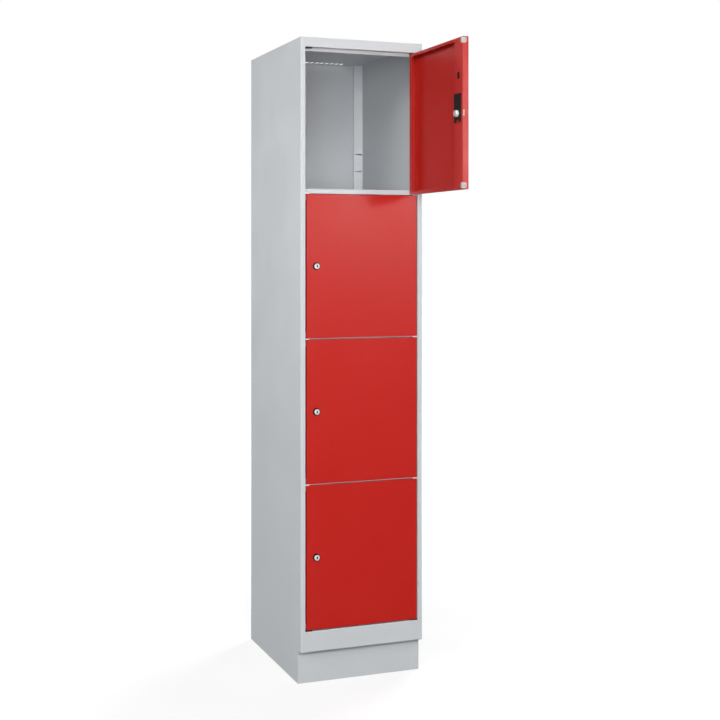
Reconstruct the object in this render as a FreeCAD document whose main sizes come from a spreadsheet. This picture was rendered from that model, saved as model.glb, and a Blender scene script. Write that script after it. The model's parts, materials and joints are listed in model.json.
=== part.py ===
import FreeCAD, Part
import math
import os
import re
from fractions import Fraction

import Sketcher

# Compartment locker: a welded sheet-steel carcass on a plinth, with four pan doors one above another.
# Millimetres. +X is to the right seen from the front, +Y to the back, +Z up.
# The origin is on the floor, in the middle of the carcass's footprint.

door_count = 4
vent_count = 14
slit_divisions = (4, 5, 6)

sizes = {
    # carcass
    "width": 400,
    "depth": 500,
    "height": 1950,
    "wall": 1,
    "bend_radius": 2,
    "stile_width": 15,
    "jamb_round": 1,
    "stop_depth": 21.5,
    "jamb_lip_gap": 2,
    "rear_flange": 15,
    "foot_flange": 22,
    "top_fascia": 29,
    "bottom_fascia": 62,
    "stop_lip": 10,
    "fascia_return": 20,
    "rail_height": 31,
    "rail_return": 20,
    "nose_front": 3,
    "nose_thickness": 1.8,
    "nose_rise": 0.7,
    "shelf_flange": 15,
    "flange_clearance": 2,
    "corner_width": 29,
    "corner_depth": 16,
    "corner_proud": 6,
    "slit_wide": 6.5,
    "slit_narrow": 1.5,
    "slit_margin": 1.5,
    "vent_width": 8,
    "vent_length": 34,
    "vent_pitch": 18,
    "vent_from_back": 24,
    # plinth
    "plinth_height": 100,
    "plinth_setback": 26,
    "plinth_wall": 1.5,
    "plinth_flange": 25,
    "fixing_hole": 9,
    "fixing_inset": 13,
    "fixing_spacing": 340,
    "screw_size": 6,
    "screw_hole": 6.6,
    "screw_head": 12,
    "screw_head_height": 3.5,
    "screw_inset": 14,
    "screw_spacing": 290,
    "nut_flats": 10,
    "nut_height": 5,
    # doors
    "door_depth": 18.5,
    "door_wall": 1,
    "door_bend": 1.6,
    "door_crease": 1,
    "door_gap": 4,
    "hinge_gap": 3,
    "free_gap": 4,
    "door_lip": 9,
    "hinge_lip": 16,
    "open_angle": 90,
    # hinges
    "hinge_inset": 7,
    "hinge_setback": 8,
    "pin_size": 6,
    "pin_reach": 4,
    "pin_chamfer": 0.8,
    "pin_clearance": 0.05,
    "bush_size": 9,
    "bush_collar": 11,
    "bush_depth": 5,
    "fit_clearance": 0.1,
    "lug_width": 15,
    "lug_thickness": 3.4,
    "lug_front": 1,
    "lug_round": 4,
    "plate_length": 24.5,
    "plate_width": 14.4,
    "plate_thickness": 3.5,
    # locks
    "lock_inset": 31.4,
    "band_width": 54,
    "oval_width": 15,
    "oval_height": 23,
    "oval_rise": 109,
    "oval_inset": 28,
    "plug_depth": 3,
    "plug_recess": 0.4,
    "collar_size": 23,
    "collar_nose": 18.8,
    "collar_height": 6,
    "collar_rim": 1,
    "sleeve_size": 19.6,
    "sleeve_depth": 11.5,
    "cylinder_size": 17,
    "cylinder_proud": 6.6,
    "cylinder_depth": 12.5,
    "cylinder_chamfer": 1.2,
    "key_width": 4.6,
    "key_height": 8.4,
    "key_depth": 9,
    "shaft_size": 8,
    "barrel_size": 19.6,
    "barrel_length": 7.5,
    "barrel_chamfer": 1.5,
    "drive_radius": 6,
    "drive_pin": 3,
    "drive_play": 0.4,
    "turn_clearance": 0.08,
    "bolt_thickness": 4,
    "bolt_height": 18,
    "bolt_inset": 1.2,
    "bolt_tail": 3,
    "bolt_play": 0.4,
    "slide_play": 0.3,
    "slot_play": 1,
    "case_width": 42,
    "case_below": 25.5,
    "core_below": 18,
    "case_above": 57.5,
    "case_proud": 1.6,
    "case_step": 1.5,
    "case_front": 11.5,
    "case_notch_width": 15,
    "case_notch_height": 12,
    "case_round": 2,
    # buffers
    "buffer_height": 16.5,
    "buffer_wrap": 12,
    "buffer_plate": 9,
    "buffer_skin": 1.2,
    "buffer_proud": 2.7,
    "buffer_from_end": 2.5,
    "buffer_corner": 5,
}

# Places and sizes that follow from the values above.
derived = {
    "half_width": "width / 2",
    "front": "-depth / 2",
    "rear": "depth / 2",
    "roof_under": "height - wall",
    "side_face": "half_width - wall",
    "opening_half": "half_width - stile_width",
    "stop_face": "front + stop_depth",
    "stop_back": "stop_face + wall",
    "back_face": "rear - 2 * wall",
    "opening_bottom": "plinth_height + bottom_fascia",
    "opening_top": "height - top_fascia",
    "first_gap": "opening_bottom + door_gap / 2",
    "pitch": f"(opening_top - opening_bottom - door_gap) / {door_count}",
    "floor_top": "first_gap + rail_height / 2",
    "corner_slope": "(corner_depth - corner_proud) / corner_width",
    "corner_start": "back_face - corner_depth",
    "corner_end": "side_face - corner_width",
    "vent_row": f"{vent_count - 1} * vent_pitch",
    "vent_line": "back_face - vent_from_back",
    "plinth_front": "front + plinth_setback",
    "screw_line": "half_width - screw_inset",
    "hinge_x": "opening_half - hinge_gap - hinge_inset",
    "hinge_y": "front + hinge_setback",
    "pin_radius": "pin_size / 2",
    "plate_end": "opening_half - plate_length",
    "lug_end": "opening_half - lug_width",
    "nose_under": "nose_rise - nose_thickness / 2",
    # a door is drawn about its hinge axis at half height, in its closed place
    "door_height": "pitch - door_gap",
    "door_width": "2 * opening_half - hinge_gap - free_gap",
    "half_door": "door_height / 2",
    "skin_face": "-hinge_setback",
    "skin_back": "skin_face + door_wall",
    "lip_back": "skin_face + door_depth",
    "lip_face": "lip_back - door_wall",
    "hinge_edge": "hinge_inset",
    "free_edge": "hinge_inset - door_width",
    "lock_x": "free_edge + lock_inset",
    "band_end": "free_edge + band_width",
    "bolt_travel": "drive_radius * sqrt(2)",
    "bolt_face": "skin_face + cylinder_depth + bolt_play",
    "bolt_back": "bolt_face + bolt_thickness",
    "case_face": "skin_face + case_front",
    "case_back": "lip_back + case_proud",
    "body_half": "case_width / 2 - case_step",
}

doc = FreeCAD.newDocument("locker")
sheet = doc.addObject("Spreadsheet::Sheet", "Sheet")
for row, (name, number) in enumerate(sizes.items(), start=1):
    sheet.set(f"A{row}", name)
    sheet.set(f"B{row}", str(number))
    sheet.setAlias(f"B{row}", name)
doc.recompute()

nodes = []


def formula(text):
    # Writes a formula of named values as an expression of sheet cells.
    def cell(match):
        word = match.group()
        if word in derived:
            return f"({formula(derived[word])})"
        return f"Sheet.{word}" if word in sizes else word
    return re.sub(r"[a-z_]+", cell, str(text))


def value(text):
    return float(sheet.evalExpression(formula(text)))


def bind(item, field, text):
    item.setExpression(field, formula(text))


def node(item, label):
    item.Label = label
    nodes.append(item)
    return item


def new_body(label, is_node=True):
    body = doc.addObject("PartDesign::Body", label)
    body.Label = label
    return node(body, label) if is_node else body


def group(label, members):
    compound = doc.addObject("Part::Compound", label)
    compound.Links = members
    return node(compound, label)


def place(item, x="0", y="0", z="0", angle="0"):
    item.Placement = FreeCAD.Placement(FreeCAD.Vector(), FreeCAD.Rotation(FreeCAD.Vector(0, 0, 1), 1))
    for axis, text in zip("xyz", (x, y, z)):
        bind(item, f"Placement.Base.{axis}", text)
    bind(item, "Placement.Rotation.Angle", angle)


# Outlines for sketches. Each is a function that draws itself into a sketch from bound coordinates.

def fix_points(sketch, places):
    constraints = []
    texts = []
    for geometry, end, x, y in places:
        for kind, text in (("DistanceX", x), ("DistanceY", y)):
            constraints.append(Sketcher.Constraint(kind, -1, 1, geometry, end, value(text)))
            texts.append(text)
    first = sketch.ConstraintCount
    sketch.addConstraint(constraints)
    for index, text in enumerate(texts):
        bind(sketch, f"Constraints[{first + index}]", text)


def polygon(points):
    def draw(sketch):
        first = sketch.GeometryCount
        count = len(points)
        corners = [FreeCAD.Vector(value(x), value(y), 0) for x, y in points]
        sketch.addGeometry([Part.LineSegment(corners[i], corners[(i + 1) % count]) for i in range(count)])
        sketch.addConstraint([
            Sketcher.Constraint("Coincident", first + i, 2, first + (i + 1) % count, 1) for i in range(count)
        ])
        fix_points(sketch, [(first + i, 1, x, y) for i, (x, y) in enumerate(points)])
    return draw


def rectangle(x0, y0, x1, y1):
    return polygon([(x0, y0), (x1, y0), (x1, y1), (x0, y1)])


def circle(x, y, radius):
    def draw(sketch):
        centre = FreeCAD.Vector(value(x), value(y), 0)
        index = sketch.addGeometry(Part.Circle(centre, FreeCAD.Vector(0, 0, 1), value(radius)))
        fix_points(sketch, [(index, 3, x, y)])
        bound = sketch.addConstraint(Sketcher.Constraint("Radius", index, value(radius)))
        bind(sketch, f"Constraints[{bound}]", radius)
    return draw


def slot(x0, y0, x1, y1, radius):
    # An oblong between two end centres, level or upright.
    def draw(sketch):
        a = FreeCAD.Vector(value(x0), value(y0), 0)
        b = FreeCAD.Vector(value(x1), value(y1), 0)
        r = value(radius)
        along = math.atan2(b.y - a.y, b.x - a.x)
        side = FreeCAD.Vector(-math.sin(along), math.cos(along), 0) * r
        up = FreeCAD.Vector(0, 0, 1)
        first = sketch.GeometryCount
        quarter = math.pi / 2
        sketch.addGeometry([
            Part.ArcOfCircle(Part.Circle(a, up, r), along + quarter, along + 3 * quarter),
            Part.LineSegment(a - side, b - side),
            Part.ArcOfCircle(Part.Circle(b, up, r), along - quarter, along + quarter),
            Part.LineSegment(b + side, a + side),
        ])
        sketch.addConstraint([
            Sketcher.Constraint("Tangent", first, 2, first + 1, 1),
            Sketcher.Constraint("Tangent", first + 1, 2, first + 2, 1),
            Sketcher.Constraint("Tangent", first + 2, 2, first + 3, 1),
            Sketcher.Constraint("Tangent", first + 3, 2, first, 1),
        ])
        fix_points(sketch, [(first, 3, x0, y0), (first + 2, 3, x1, y1)])
        bound = sketch.addConstraint(Sketcher.Constraint("Radius", first, r))
        bind(sketch, f"Constraints[{bound}]", radius)
    return draw


# Features. A plane's start and length are counted along the row axis square to it.

def new_sketch(body, plane, start, outlines):
    sketch = body.newObject("Sketcher::SketchObject", "outline")
    origin = [item for item in body.Origin.OriginFeatures if item.Role == f"{plane}_Plane"][0]
    sketch.AttachmentSupport = [(origin, "")]
    sketch.MapMode = "FlatFace"
    bind(sketch, "AttachmentOffset.Base.z", f"-({start})" if plane == "XZ" else start)
    for draw in outlines:
        draw(sketch)
    return sketch


def tip_volume(body):
    doc.recompute()
    return body.Shape.Volume if body.Tip else 0


def pad(body, plane, start, length, *outlines):
    before = tip_volume(body)
    feature = body.newObject("PartDesign::Pad", "pad")
    feature.Profile = new_sketch(body, plane, start, outlines)
    bind(feature, "Length", length)
    feature.Reversed = plane == "XZ"
    if tip_volume(body) <= before:
        raise ValueError(f"{body.Label}: a pad adds nothing")
    return feature


def pocket(body, plane, start, length, *outlines):
    before = tip_volume(body)
    feature = body.newObject("PartDesign::Pocket", "pocket")
    feature.Profile = new_sketch(body, plane, start, outlines)
    bind(feature, "Length", length)
    feature.Reversed = plane != "XZ"
    if tip_volume(body) >= before:
        raise ValueError(f"{body.Label}: a pocket cuts nothing")
    return feature


def revolve(body, plane, points):
    # A turned piece about the sketch's upright axis: Z on the XZ plane, Y on the XY plane.
    feature = body.newObject("PartDesign::Revolution", "turned")
    sketch = new_sketch(body, plane, "0", [polygon(points)])
    feature.Profile = sketch
    feature.ReferenceAxis = (sketch, ["V_Axis"])
    feature.Angle = 360
    return feature


def repeat(body, feature, axis, length, count):
    pattern = body.newObject("PartDesign::LinearPattern", "row")
    pattern.Originals = [feature]
    pattern.Direction = (feature.Profile[0], [axis])
    bind(pattern, "Length", length)
    pattern.Occurrences = count
    body.Tip = pattern
    return pattern


def round_edges(body, radius, *lines):
    # Rounds each edge whose ends all lie on one of the lines, given as coordinates by axis.
    doc.recompute()
    base = body.Tip

    def lies_on(edge, line):
        return all(
            abs(getattr(corner.Point, axis) - value(text)) < 1e-4
            for corner in edge.Vertexes for axis, text in line.items()
        )
    names = [
        f"Edge{index}" for index, edge in enumerate(base.Shape.Edges, start=1)
        if any(lies_on(edge, line) for line in lines)
    ]
    if not names:
        raise ValueError(f"{body.Label}: no edge to round")
    feature = body.newObject("PartDesign::Fillet", "round")
    feature.Base = (base, names)
    bind(feature, "Radius", radius)
    return feature


def gap_level(index):
    # Height of the middle of a door gap, counted up from the lowest.
    return f"(first_gap + {index} * pitch)"


def shelf_level(index):
    return gap_level(door_count - index)


def door_level(index):
    return f"({gap_level(door_count - index)} + pitch / 2)"


# Carcass

def side_panel(label, side):
    # Wall, front stile, jamb, closing lip and rear flange are folded from one sheet.
    def x(inset):
        return f"{side} * (half_width - ({inset}))"
    body = new_body(label)
    section = [
        (x("0"), "front"), (x("0"), "rear"), (x("rear_flange"), "rear"), (x("rear_flange"), "rear - wall"),
        (x("wall"), "rear - wall"), (x("wall"), "front + wall"), (x("stile_width - wall"), "front + wall"),
        (x("stile_width - wall"), "stop_face"), (x("wall + jamb_lip_gap"), "stop_face"),
        (x("wall + jamb_lip_gap"), "stop_back"), (x("stile_width"), "stop_back"), (x("stile_width"), "front"),
    ]
    pad(body, "XY", "opening_bottom", "opening_top - opening_bottom", polygon(section))
    round_edges(body, "jamb_round", {"x": x("stile_width"), "y": "front"})
    pad(body, "XY", "plinth_height", "opening_bottom - plinth_height", polygon(section))
    pad(body, "XY", "opening_top", "roof_under - opening_top", polygon(section))
    foot = rectangle(x("wall"), "stop_back + wall", x("wall + foot_flange"), "back_face - wall")
    pad(body, "XY", "plinth_height", "wall", foot)
    holes = [circle(x("screw_inset"), f"{end} * screw_spacing / 2", "screw_hole / 2") for end in (-1, 1)]
    pocket(body, "XY", "plinth_height - wall", "3 * wall", *holes)
    if side < 0:
        keepers = [
            rectangle(
                "hinge_y + bolt_face - slot_play", f"{door_level(index)} - bolt_height / 2 - slot_play",
                "hinge_y + bolt_back + slot_play", f"{door_level(index)} + bolt_height / 2 + slot_play",
            ) for index in range(1, door_count + 1)
        ]
        pocket(body, "YZ", "-opening_half - 2 * wall", "3 * wall", *keepers)
    round_edges(body, "bend_radius", {"x": x("0"), "y": "front"}, {"x": x("0"), "y": "rear"})


def corner_strip(label, side):
    # A slanted cover strip in each rear corner, folded back to the rear panel along its inner edge,
    # with a wedge slit at every height that a shelf can take.
    body = new_body(label)
    drop = "(wall * sqrt(1 + corner_slope ^ 2))"
    crest = "(back_face - corner_proud)"
    plan = [
        (f"{side} * side_face", "corner_start"), (f"{side} * side_face", f"corner_start + {drop}"),
        (f"{side} * (corner_end + wall)", f"{crest} - wall * corner_slope + {drop}"),
        (f"{side} * (corner_end + wall)", "back_face"), (f"{side} * corner_end", "back_face"),
        (f"{side} * corner_end", crest),
    ]
    pad(body, "XY", "floor_top", "roof_under - floor_top", polygon(plan))
    shares = sorted({Fraction(step, parts) for parts in slit_divisions for step in range(1, parts)})
    slits = []
    for share in shares:
        level = f"(floor_top + {door_count} * pitch * {share.numerator} / {share.denominator} - wall / 2)"
        near = "corner_start + slit_margin"
        far = f"{crest} - slit_margin"
        slits.append(polygon([
            (near, f"{level} - slit_wide / 2"), (far, f"{level} - slit_narrow / 2"),
            (far, f"{level} + slit_narrow / 2"), (near, f"{level} + slit_wide / 2"),
        ]))
    start = "corner_end - wall" if side > 0 else "-side_face - wall"
    pocket(body, "YZ", start, "corner_width + 2 * wall", *slits)


def back_panel():
    body = new_body("back_panel")
    pad(body, "XZ", "back_face", "wall", rectangle("-side_face", "plinth_height", "side_face", "roof_under"))


def vent_row(body, under):
    # A row of oblong vents along the rear edge of a level plate.
    reach = "(vent_length / 2 - vent_width / 2)"
    first = slot(
        "-vent_row / 2", f"vent_line - {reach}", "-vent_row / 2", f"vent_line + {reach}", "vent_width / 2"
    )
    cut = pocket(body, "XY", f"{under} - wall", "3 * wall", first)
    repeat(body, cut, "H_Axis", "vent_row", vent_count)


def top_panel():
    # The cap, its front fascia, the door recess and the stop lip are folded from one sheet.
    body = new_body("top_panel")
    cap = rectangle("-half_width", "front", "half_width", "rear")
    pad(body, "XY", "roof_under", "wall", cap)
    corners = [{"x": f"{side} * half_width", "y": end} for side in (-1, 1) for end in ("front", "rear")]
    round_edges(body, "bend_radius", *corners)
    section = [
        ("front", "roof_under"), ("front", "opening_top"), ("stop_face", "opening_top"),
        ("stop_face", "opening_top - stop_lip"), ("stop_back", "opening_top - stop_lip"),
        ("stop_back", "opening_top + wall"), ("front + wall", "opening_top + wall"),
        ("front + wall", "roof_under"),
    ]
    pad(body, "YZ", "-opening_half", "2 * opening_half", polygon(section))
    round_edges(body, "bend_radius", {"y": "front", "z": "opening_top"})
    vent_row(body, "roof_under")


def bottom_panel():
    # Fascia, door recess, stop lip and compartment floor are folded from one sheet.
    body = new_body("bottom_panel")
    floor_under = "(floor_top - wall)"
    section = [
        ("front", "plinth_height"), ("front", "opening_bottom"), ("stop_face", "opening_bottom"),
        ("stop_face", "floor_top"), ("back_face", "floor_top"), ("back_face", "floor_top - shelf_flange"),
        ("back_face - wall", "floor_top - shelf_flange"), ("back_face - wall", floor_under),
        ("stop_back", floor_under), ("stop_back", "opening_bottom - wall"),
        ("front + wall", "opening_bottom - wall"), ("front + wall", "plinth_height + wall"),
        ("front + fascia_return", "plinth_height + wall"), ("front + fascia_return", "plinth_height"),
    ]
    pad(body, "YZ", "-opening_half", "2 * opening_half", polygon(section))
    pad(body, "XY", floor_under, "wall", rectangle("-side_face", "stop_back", "side_face", "back_face"))
    round_edges(
        body, "bend_radius", {"y": "front", "z": "opening_bottom"}, {"y": "front", "z": "plinth_height"},
    )
    vent_row(body, floor_under)


def shelf(index):
    # Drawn about the middle of its door gap: plate, front rail, nose between doors, flanges, rear corners.
    body = new_body(f"shelf_{index}")
    top = "(rail_height / 2)"
    crest = "back_face - corner_proud"
    plate = [
        ("-opening_half", "stop_face"), ("opening_half", "stop_face"), ("opening_half", "stop_back"),
        ("side_face", "stop_back"), ("side_face", "corner_start"), ("corner_end", crest),
        ("corner_end", "back_face"), ("-corner_end", "back_face"), ("-corner_end", crest),
        ("-side_face", "corner_start"), ("-side_face", "stop_back"), ("-opening_half", "stop_back"),
    ]
    pad(body, "XY", f"{top} - wall", "wall", polygon(plate))
    rail = [
        ("stop_face", top), ("stop_face", f"-{top}"), ("stop_face + rail_return", f"-{top}"),
        ("stop_face + rail_return", f"wall - {top}"), ("stop_back", f"wall - {top}"), ("stop_back", top),
    ]
    pad(body, "YZ", "-opening_half", "2 * opening_half", polygon(rail))
    nose = rectangle("front + nose_front", "nose_under", "stop_back", "nose_under + nose_thickness")
    pad(body, "YZ", "-lug_end", "2 * lug_end", nose)
    flange_foot = f"({top} - shelf_flange)"
    flanges = [
        rectangle(
            f"{side} * side_face", "stop_back + flange_clearance",
            f"{side} * (side_face - wall)", "corner_start - flange_clearance",
        ) for side in (-1, 1)
    ]
    rear_end = "(corner_end - flange_clearance)"
    flanges.append(rectangle(f"-{rear_end}", "back_face - wall", rear_end, "back_face"))
    pad(body, "XY", flange_foot, "shelf_flange", *flanges)
    round_edges(body, "bend_radius", {"y": "stop_face", "z": top}, {"y": "stop_face", "z": f"-{top}"})
    vent_row(body, f"({top} - wall)")
    place(body, z=shelf_level(index))


def hinge_lugs():
    # Steel lugs on both ends of each shelf rail, standing in the gap between two doors.
    lugs = []
    for index in range(1, door_count):
        for side in (-1, 1):
            body = new_body(f"lug_{index}_{'right' if side > 0 else 'left'}", is_node=False)
            tip = f"{side} * lug_end"
            outline = rectangle(f"{side} * opening_half", "front + lug_front", tip, "stop_face")
            pad(body, "XY", "-lug_thickness / 2", "lug_thickness", outline)
            round_edges(body, "lug_round", {"x": tip, "y": "front + lug_front"})
            hole = circle(f"{side} * hinge_x", "hinge_y", "pin_radius")
            pocket(body, "XY", "-lug_thickness", "2 * lug_thickness", hole)
            place(body, z=shelf_level(index))
            lugs.append(body)
    group("shelf_hinge_lugs", lugs)


def lug_tips():
    # Plastic tips under the shelf noses, against the inner ends of the lugs on the hinge side.
    tips = []
    half = "(plate_width / 2 - lug_round)"
    for index in range(1, door_count):
        body = new_body(f"tip_{index}", is_node=False)
        outline = rectangle("lug_end", f"hinge_y - {half}", "plate_end", f"hinge_y + {half}")
        pad(body, "XY", "-lug_thickness / 2", "lug_thickness / 2 + nose_under", outline)
        round_edges(
            body, f"{half} / 2",
            {"x": "plate_end", "y": f"hinge_y - {half}"}, {"x": "plate_end", "y": f"hinge_y + {half}"},
        )
        place(body, z=shelf_level(index))
        tips.append(body)
    group("shelf_hinge_tips", tips)


def hinge_plates(label, under):
    # Plastic bearing plates at both ends of the recess above the top door or below the bottom one.
    plates = []
    for side in (-1, 1):
        body = new_body(f"{label}_{'right' if side > 0 else 'left'}", is_node=False)
        radius = "(plate_width / 2)"
        centre = f"{side} * (plate_end + {radius})"
        outline = slot(centre, "hinge_y", f"{side} * opening_half", "hinge_y", radius)
        pad(body, "XY", under, "plate_thickness", outline)
        past = rectangle(
            f"{side} * opening_half", "hinge_y - plate_width", f"{side} * half_width", "hinge_y + plate_width"
        )
        pocket(body, "XY", f"{under} - wall", "plate_thickness + 2 * wall", past)
        hole = circle(f"{side} * hinge_x", "hinge_y", "pin_radius")
        pocket(body, "XY", f"{under} - wall", "plate_thickness + 2 * wall", hole)
        plates.append(body)
    group(label, plates)


def hinge_pins():
    # One pin at the top, one at the bottom and a double-ended one through each lug.
    pins = []
    for index in range(door_count + 1):
        body = new_body(f"pin_{index}", is_node=False)
        reach = "(door_gap / 2 + pin_reach)"
        low = "-door_gap / 2" if index == 0 else f"-{reach}"
        high = "door_gap / 2" if index == door_count else reach
        revolve(body, "XZ", [
            ("0", low), ("pin_radius - pin_chamfer", low), ("pin_radius", f"{low} + pin_chamfer"),
            ("pin_radius", f"{high} - pin_chamfer"), ("pin_radius - pin_chamfer", high), ("0", high),
        ])
        place(body, "hinge_x", "hinge_y", gap_level(index))
        pins.append(body)
    group("hinge_pins", pins)


# Plinth

def plinth_side(label, side):
    # Channel with its web outside. Its lower flange takes the floor fixings, its upper one the screws.
    def x(inset):
        return f"{side} * (half_width - ({inset}))"
    body = new_body(label)
    web = rectangle(x("0"), "0", x("plinth_wall"), "plinth_height")
    pad(body, "XZ", "plinth_front", "rear - plinth_front", web)
    flanges = [
        rectangle(x("plinth_wall"), level, x("plinth_flange"), f"{level} + plinth_wall")
        for level in ("0", "(plinth_height - plinth_wall)")
    ]
    for flange in flanges:
        pad(body, "XZ", "plinth_front + plinth_wall", "rear - plinth_front - 2 * plinth_wall", flange)
    anchors = [circle(x("fixing_inset"), f"{end} * fixing_spacing / 2", "fixing_hole / 2") for end in (-1, 1)]
    pocket(body, "XY", "-plinth_wall", "3 * plinth_wall", *anchors)
    holes = [circle(x("screw_inset"), f"{end} * screw_spacing / 2", "screw_hole / 2") for end in (-1, 1)]
    pocket(body, "XY", "plinth_height - 2 * plinth_wall", "3 * plinth_wall", *holes)


def plinth_cross(label, outer, inward):
    # Channel between the side rails. Its flanges stop short of theirs.
    body = new_body(label)
    half = "(half_width - plinth_wall)"
    flange_half = "(half_width - plinth_flange - plinth_wall)"
    web_start = outer if inward > 0 else f"({outer} - plinth_wall)"
    flange_start = outer if inward > 0 else f"({outer} - plinth_flange)"
    pad(body, "XZ", web_start, "plinth_wall", rectangle(f"-{half}", "0", half, "plinth_height"))
    for level in ("0", "(plinth_height - plinth_wall)"):
        outline = rectangle(f"-{flange_half}", flange_start, flange_half, f"{flange_start} + plinth_flange")
        pad(body, "XY", level, "plinth_wall", outline)


def screw_places():
    return [
        (f"{side} * screw_line", f"{end} * screw_spacing / 2") for side in (-1, 1) for end in (-1, 1)
    ]


def plinth_screws():
    # Pan-head screws put in from below, through the plinth and the foot flanges of the side panels.
    screws = []
    radius = "(screw_size / 2)"
    head = "(screw_head / 2)"
    tip = "(plinth_wall + 2 * wall + nut_height)"
    for index, (x, y) in enumerate(screw_places()):
        body = new_body(f"screw_{index}", is_node=False)
        revolve(body, "XZ", [
            ("0", "-screw_head_height"), (f"{head} * 2 / 3", "-screw_head_height"),
            (head, "-screw_head_height / 2"), (head, "0"), (radius, "0"), (radius, tip), ("0", tip),
        ])
        place(body, x, y, "plinth_height - plinth_wall")
        screws.append(body)
    group("plinth_screws", screws)


def plinth_nuts():
    nuts = []
    corner = f"nut_flats / {math.sqrt(3):.6f}"
    hexagon = [
        (f"{math.cos(math.pi * i / 3):.6f} * {corner}", f"{math.sin(math.pi * i / 3):.6f} * {corner}")
        for i in range(6)
    ]
    for index, (x, y) in enumerate(screw_places()):
        body = new_body(f"nut_{index}", is_node=False)
        pad(body, "XY", "0", "nut_height", polygon(hexagon), circle("0", "0", "screw_size / 2"))
        place(body, x, y, "plinth_height + wall")
        nuts.append(body)
    group("plinth_nuts", nuts)


# Doors

def hang(item, index):
    # Puts a piece that is drawn about the hinge axis on its door. The top door stands open.
    place(item, "hinge_x", "hinge_y", door_level(index), "open_angle" if index == 1 else "0")


def door_leaf(index):
    # A pan folded from one sheet, with lips along the top, bottom and hinge side.
    body = new_body(f"door_{index}_leaf")
    outline = rectangle("free_edge", "-half_door", "hinge_edge", "half_door")
    pad(body, "XZ", "skin_face", "door_depth", outline)
    round_edges(body, "door_bend", {"x": "hinge_edge", "y": "skin_face"})
    round_edges(
        body, "door_crease", {"x": "free_edge", "y": "skin_face"},
        {"y": "skin_face", "z": "half_door"}, {"y": "skin_face", "z": "-half_door"},
    )
    inner_half = "(half_door - door_wall)"
    hollow = rectangle("free_edge + door_wall", f"-{inner_half}", "hinge_edge - door_wall", inner_half)
    pocket(body, "XZ", "skin_back", "door_depth", hollow)
    lip_half = "(half_door - door_lip)"
    frame = rectangle("free_edge", "-half_door", "hinge_edge", "half_door")
    window = rectangle("free_edge + door_wall", f"-{lip_half}", "hinge_edge - hinge_lip", lip_half)
    pad(body, "XZ", "lip_face", "door_wall", frame, window)
    lock_hole = circle("lock_x", "0", "sleeve_size / 2 + fit_clearance")
    pocket(body, "XZ", "skin_face - door_wall", "3 * door_wall", lock_hole)
    bolt_half = "(bolt_height / 2 + slide_play)"
    bolt_slot = rectangle("bolt_face - slide_play", f"-{bolt_half}", "bolt_back + slide_play", bolt_half)
    pocket(body, "YZ", "free_edge - door_wall", "3 * door_wall", bolt_slot)
    for level in ("half_door", "-half_door"):
        bush_hole = circle("0", "0", "bush_size / 2 + fit_clearance")
        pocket(body, "XY", f"{level} - 2 * door_wall", "4 * door_wall", bush_hole)
    hang(body, index)


def lock_band(index):
    # The stiffening channel along the free edge, which carries the lock.
    body = new_body(f"door_{index}_lock_band")
    section = [
        ("free_edge + door_wall", "lip_face"), ("free_edge + door_wall", "lip_back"),
        ("band_end", "lip_back"), ("band_end", "skin_back"),
        ("band_end - door_wall", "skin_back"), ("band_end - door_wall", "lip_face"),
    ]
    half = "(half_door - door_lip)"
    pad(body, "XY", f"-{half}", f"2 * {half}", polygon(section))
    window = rectangle(
        "lock_x - body_half - fit_clearance", "-core_below - fit_clearance",
        "lock_x + body_half + fit_clearance", "case_above - case_step + fit_clearance",
    )
    pocket(body, "XZ", "lip_face - door_wall", "3 * door_wall", band_oval(), window)
    hang(body, index)


def band_oval():
    reach = "(oval_height / 2 - oval_width / 2)"
    x = "free_edge + oval_inset"
    return slot(x, f"oval_rise - {reach}", x, f"oval_rise + {reach}", "oval_width / 2")


def band_plug(index):
    # Plastic plug pressed into the band's oval hole, a little below its face.
    body = new_body(f"door_{index}_band_plug")
    pad(body, "XZ", "lip_back - plug_recess - plug_depth", "plug_depth", band_oval())
    hang(body, index)


def lock_case(index):
    # Plastic case let into the band from behind, forked at its lower end, with a channel for the bolt.
    body = new_body(f"door_{index}_lock_case")
    left, right = "lock_x - case_width / 2", "lock_x + case_width / 2"
    fork_left, fork_right = "lock_x - case_notch_width / 2", "lock_x + case_notch_width / 2"
    notch = "case_notch_height - case_below"
    cover = [
        (left, "-case_below"), (fork_left, "-case_below"), (fork_left, notch), (fork_right, notch),
        (fork_right, "-case_below"), (right, "-case_below"), (right, "case_above"), (left, "case_above"),
    ]
    pad(body, "XZ", "lip_back", "case_proud", polygon(cover))
    core = rectangle("lock_x - body_half", "-core_below", "lock_x + body_half", "case_above - case_step")
    pad(body, "XZ", "case_face", "lip_back - case_face", core)
    half = "(bolt_height / 2 + slide_play)"
    channel = rectangle("lock_x - case_width", f"-{half}", "lock_x + body_half - case_step", half)
    pocket(body, "XZ", "case_face - case_step", "bolt_back + slide_play - case_face + case_step", channel)
    shaft_hole = circle("lock_x", "0", "shaft_size / 2 + turn_clearance")
    pocket(body, "XZ", "case_face", "2 * door_depth", shaft_hole)
    outer_edges = [
        {"x": f"lock_x + {side} * case_width / 2", "z": level}
        for side in (-1, 1) for level in ("-case_below", "case_above")
    ]
    round_edges(body, "case_round", *outer_edges)
    hang(body, index)


def lock_collar(index):
    # Tapered plastic rosette and sleeve in which the lock cylinder turns.
    body = new_body(f"door_{index}_lock_collar")
    bore = "(cylinder_size / 2 + turn_clearance)"
    nose = "skin_face - collar_height"
    sleeve = "(sleeve_size / 2)"
    end = "skin_face + sleeve_depth"
    revolve(body, "XY", [
        (bore, nose), ("collar_nose / 2", nose), ("collar_size / 2", "skin_face - collar_rim"),
        ("collar_size / 2", "skin_face"), (sleeve, "skin_face"), (sleeve, end), (bore, end),
    ])
    shift_to_lock(body)
    hang(body, index)


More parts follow.
